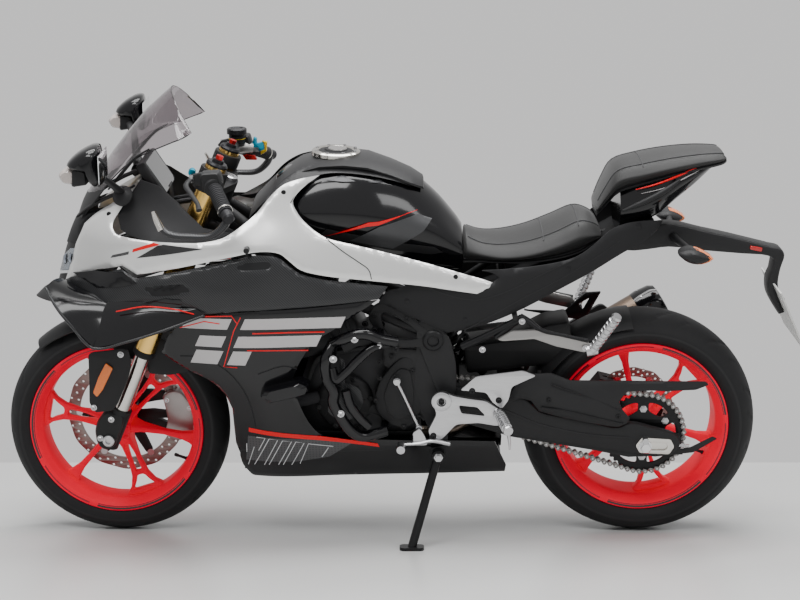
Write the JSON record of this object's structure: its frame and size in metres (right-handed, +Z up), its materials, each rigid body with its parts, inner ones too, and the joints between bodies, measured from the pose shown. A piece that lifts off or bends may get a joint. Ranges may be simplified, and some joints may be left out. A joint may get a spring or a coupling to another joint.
{
  "type": "sport bike",
  "caption": "Fully faired sport bike with red cast wheels, leaning on its side stand, with steering, spinning wheels and a folding stand.",
  "frame": {"origin": "on the ground, at the middle of the outline seen from above", "axes": "+X towards the tail, +Y towards the right-hand side of the machine, +Z up; the machine leans towards -Y on its stand"},
  "size_m": [2.0687, 0.7876, 1.1807],
  "materials": {
    "tyre": "matte",
    "wheel_red": "gloss",
    "disc_steel": "drilled",
    "black_metal": "satin black",
    "chrome_steel": "polished",
    "gold_tube": "gold anodised",
    "caliper_grey": "cast",
    "machined_alloy": "machined",
    "bar_black": "black anodised",
    "grip_rubber": "ribbed",
    "satin_black_plastic": "satin",
    "chain_steel": "oiled",
    "engine_alloy": "black cast",
    "pipe_steel": "heat tinted",
    "muffler_shell": "bronze tint",
    "spring_red": "gloss",
    "silver_paint": "satin metallic",
    "carbon_weave": "woven look",
    "gloss_black": "gloss",
    "cover_black": "dark satin",
    "clear_screen": "light smoke",
    "lamp_lens": "clear",
    "seat_cover": "matte black"
  },
  "bodies": {
    "chassis": {"chain": "chain_steel", "rear_axle": "chrome_steel", "engine": "engine_alloy", "radiator": "engine_alloy", "exhaust": "pipe_steel", "muffler": "muffler_shell", "swingarm": "black_metal", "chain_guard": "satin_black_plastic", "shock": "spring_red", "silver_panels": "silver_paint", "carbon_panels": "carbon_weave", "side_fairings": "gloss_black", "belly_pan": "gloss_black", "nose_fairing": "gloss_black", "headlights": "lamp_lens", "windscreen": "clear_screen", "mirrors": "satin_black_plastic", "winglets": "carbon_weave", "fuel_tank": "gloss_black", "tank_cover": "cover_black", "rider_seat": "seat_cover", "pillion_seat": "seat_cover", "tail_panels": "satin_black_plastic", "tail_cowl": "gloss_black", "frame": "black_metal", "dash": "satin_black_plastic", "plate_holder": "black_metal", "footrests": "machined_alloy", "pedals": "machined_alloy", "pillion_pegs": "machined_alloy", "engine_guards": "black_metal"},
    "front_end": {"front_axle": "chrome_steel", "fork_feet": "black_metal", "fork_sliders": "chrome_steel", "fork_tubes": "gold_tube", "fork_clamps": "black_metal", "handlebars": "bar_black", "grips": "grip_rubber", "front_fender": "satin_black_plastic", "front_caliper": "caliper_grey"},
    "front_wheel": {"front_tyre": "tyre", "front_wheel": "wheel_red", "front_disc": "disc_steel"},
    "rear_wheel": {"rear_tyre": "tyre", "rear_wheel": "wheel_red", "rear_disc": "disc_steel", "sprocket": "black_metal"},
    "side_stand": {"side_stand": "black_metal"}
  },
  "joints": [
    {"name": "steering", "type": "hinge", "parent": "chassis", "child": "front_end", "pos_m": [-0.71395, 0.14833, 0.27728], "axis": [0.3735, -0.2008, 0.9056], "range_deg": [-28.5, 35.5]},
    {"name": "front_wheel_spin", "type": "hinge", "parent": "front_end", "child": "front_wheel", "pos_m": [-0.74173, 0.1477, 0.2886], "axis": [0.0567, 0.9794, 0.1938], "continuous": true},
    {"name": "rear_wheel_spin", "type": "hinge", "parent": "chassis", "child": "rear_wheel", "pos_m": [0.62822, 0.14296, 0.30078], "axis": [0.0001, 0.9763, 0.2164], "continuous": true},
    {"name": "side_stand_fold", "type": "hinge", "parent": "chassis", "child": "side_stand", "pos_m": [0.09819, 0.00154, 0.2307], "axis": [-0.0001, -0.9763, -0.2164], "range_deg": [0, 104]}
  ]
}
